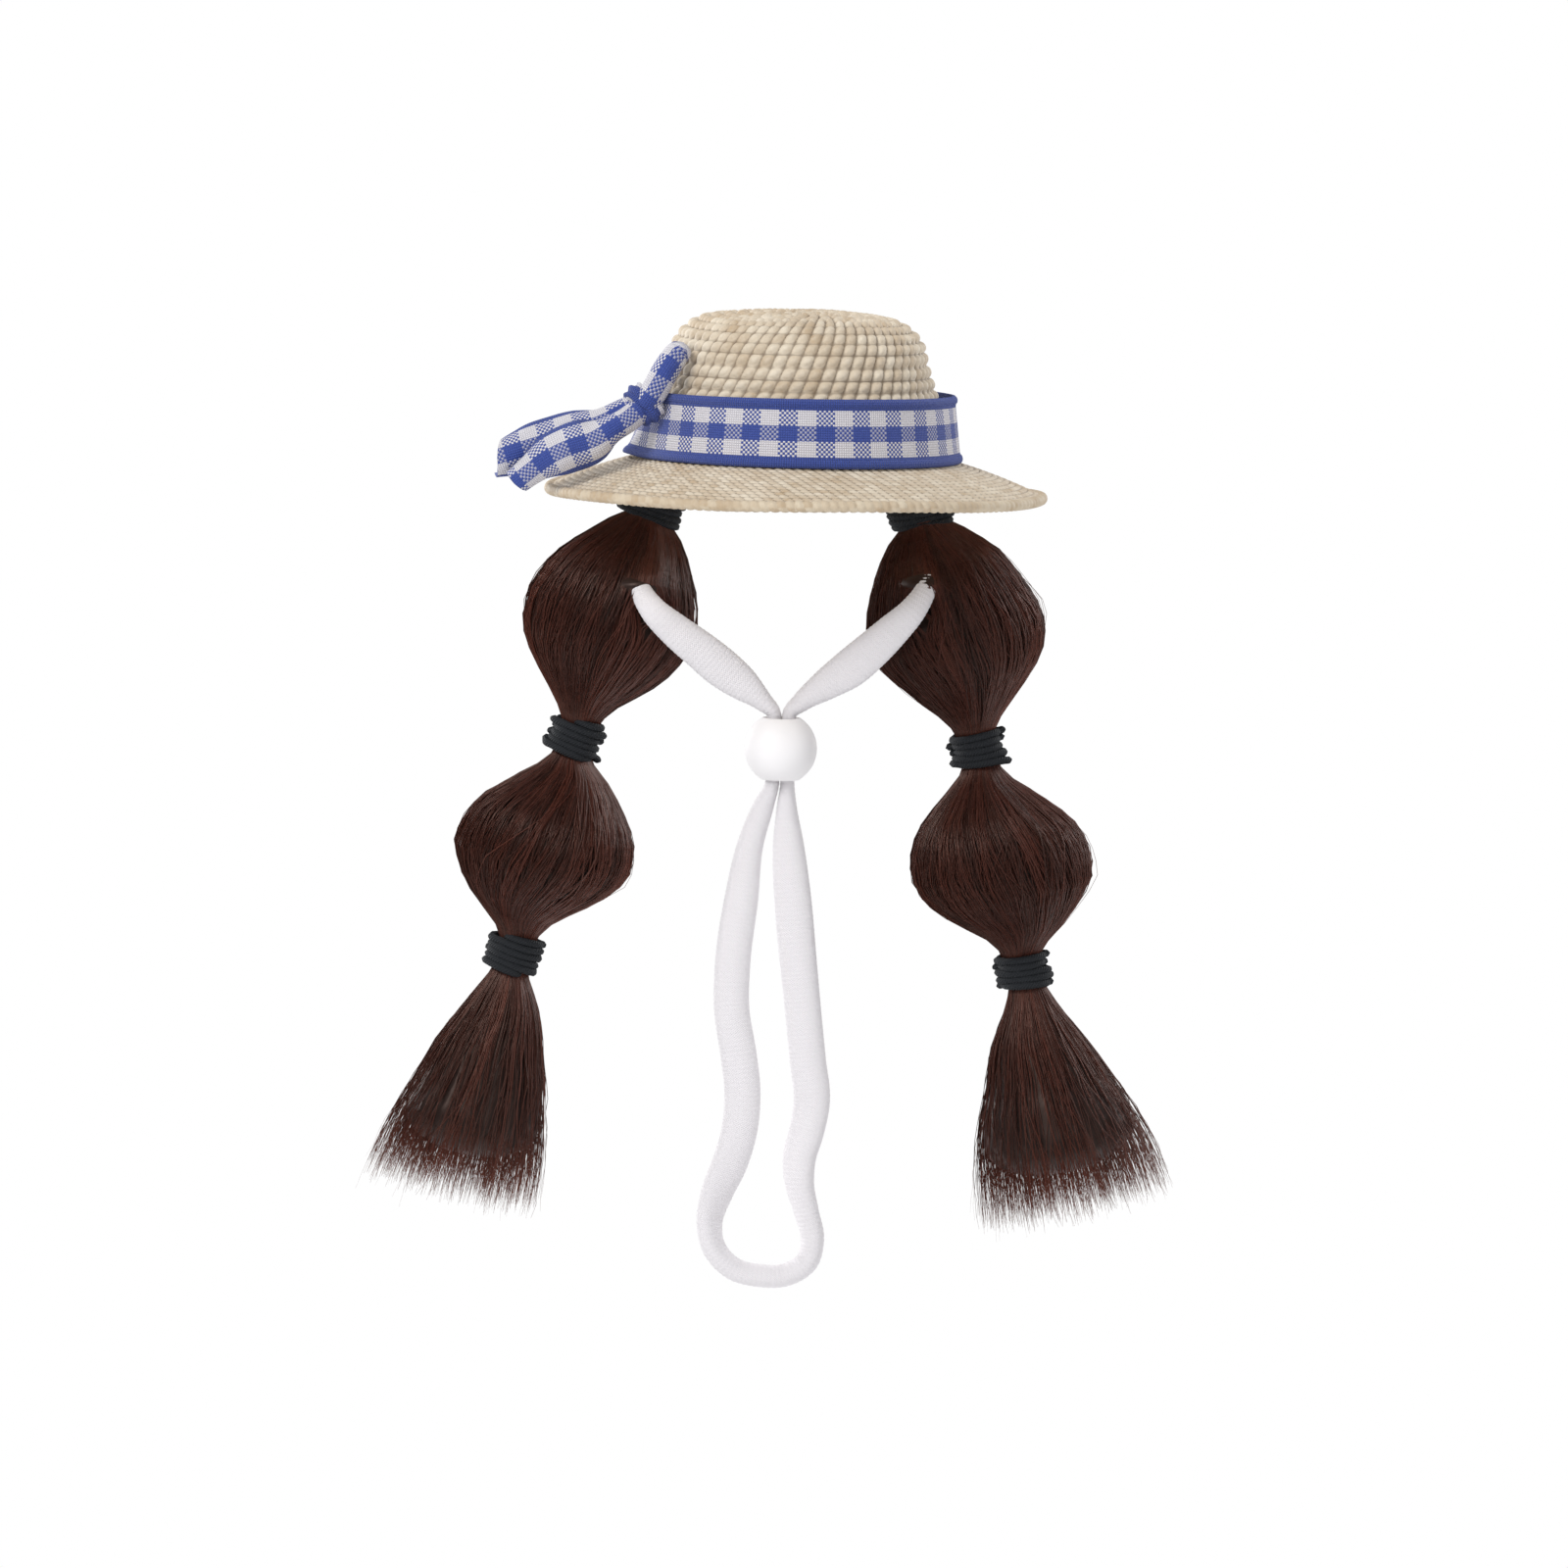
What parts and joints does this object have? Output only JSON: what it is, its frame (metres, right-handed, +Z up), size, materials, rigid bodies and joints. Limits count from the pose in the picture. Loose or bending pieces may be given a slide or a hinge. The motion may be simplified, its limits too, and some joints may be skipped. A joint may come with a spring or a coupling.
{
  "type": "pet costume hat with braids",
  "caption": "Small domed straw sun hat for a pet, with a gingham ribbon tied at one side, two brown bubble braids and a white elastic chin strap with a slide bead.",
  "frame": {"origin": "centre of the head opening, level with the foot of the crown", "axes": "+Z up through the crown; -Y is the front, where the chin strap hangs; +X is the right-hand braid as seen from the front"},
  "size_m": [0.1822, 0.12, 0.2321],
  "materials": {
    "straw": "matte",
    "straw_edge": "matte",
    "thread": "matte",
    "gingham": "matte",
    "hair": "satin",
    "hair_elastic": "matte",
    "strap_elastic": "matte",
    "bead": "matte"
  },
  "bodies": {
    "hat": {"crown": "straw", "brim": "straw", "brim_edge": "straw_edge", "seam_stitches": "thread", "ribbon_band": "gingham", "ribbon_knot": "gingham", "ribbon_loop": "gingham", "ribbon_tail_front": "gingham", "ribbon_tail_back": "gingham", "braid_stitches": "thread", "strap_stitches": "thread", "left_hair_root": "hair", "right_hair_root": "hair", "strap_left": "strap_elastic", "strap_right": "strap_elastic", "strap_loop": "strap_elastic"},
    "left_braid_root": {"left_root_tie": "hair_elastic"},
    "left_braid_upper": {"left_upper_bubble": "hair", "left_upper_tie": "hair_elastic"},
    "left_braid_lower": {"left_lower_bubble": "hair", "left_lower_tie": "hair_elastic"},
    "left_braid_tail": {"left_tail": "hair"},
    "right_braid_root": {"right_root_tie": "hair_elastic"},
    "right_braid_upper": {"right_upper_bubble": "hair", "right_upper_tie": "hair_elastic"},
    "right_braid_lower": {"right_lower_bubble": "hair", "right_lower_tie": "hair_elastic"},
    "right_braid_tail": {"right_tail": "hair"},
    "bead": {"bead": "bead"}
  },
  "joints": [
    {"name": "left_braid_swing", "type": "hinge", "parent": "hat", "child": "left_braid_root", "pos_m": [-0.0344, 0, -0.012], "axis": [0, 1, 0], "range_deg": [-5, 12], "stiffness_Nm_per_rad": 0.03, "springref_deg": 13.51},
    {"name": "left_braid_sway", "type": "hinge", "parent": "left_braid_root", "child": "left_braid_upper", "pos_m": [-0.0344, 0, -0.012], "axis": [1, 0, 0], "range_deg": [-12, 12], "stiffness_Nm_per_rad": 0.03},
    {"name": "left_braid_bend", "type": "hinge", "parent": "left_braid_upper", "child": "left_braid_lower", "pos_m": [-0.05103, 0, -0.06777], "axis": [0, 1, 0], "range_deg": [-7, 20], "stiffness_Nm_per_rad": 0.02, "springref_deg": 8.16},
    {"name": "left_tail_bend", "type": "hinge", "parent": "left_braid_lower", "child": "left_braid_tail", "pos_m": [-0.06455, 0, -0.12005], "axis": [0, 1, 0], "range_deg": [-7, 20], "stiffness_Nm_per_rad": 0.008, "springref_deg": 5.7},
    {"name": "right_braid_swing", "type": "hinge", "parent": "hat", "child": "right_braid_root", "pos_m": [0.0298, 0, -0.012], "axis": [0, -1, 0], "range_deg": [-5, 12], "stiffness_Nm_per_rad": 0.03, "springref_deg": 12.76},
    {"name": "right_braid_sway", "type": "hinge", "parent": "right_braid_root", "child": "right_braid_upper", "pos_m": [0.0298, 0, -0.012], "axis": [1, 0, 0], "range_deg": [-12, 12], "stiffness_Nm_per_rad": 0.03},
    {"name": "right_braid_bend", "type": "hinge", "parent": "right_braid_upper", "child": "right_braid_lower", "pos_m": [0.04506, 0, -0.06816], "axis": [0, -1, 0], "range_deg": [-7, 20], "stiffness_Nm_per_rad": 0.02, "springref_deg": 8.03},
    {"name": "right_tail_bend", "type": "hinge", "parent": "right_braid_lower", "child": "right_braid_tail", "pos_m": [0.05721, 0, -0.12078], "axis": [0, -1, 0], "range_deg": [-7, 20], "stiffness_Nm_per_rad": 0.008, "springref_deg": 6.87},
    {"name": "bead_slide", "type": "slide", "parent": "hat", "child": "bead", "axis": [0, 0, 1], "range_m": [-0.05, 0.01], "deforming": ["strap_left", "strap_right", "strap_loop"]}
  ]
}
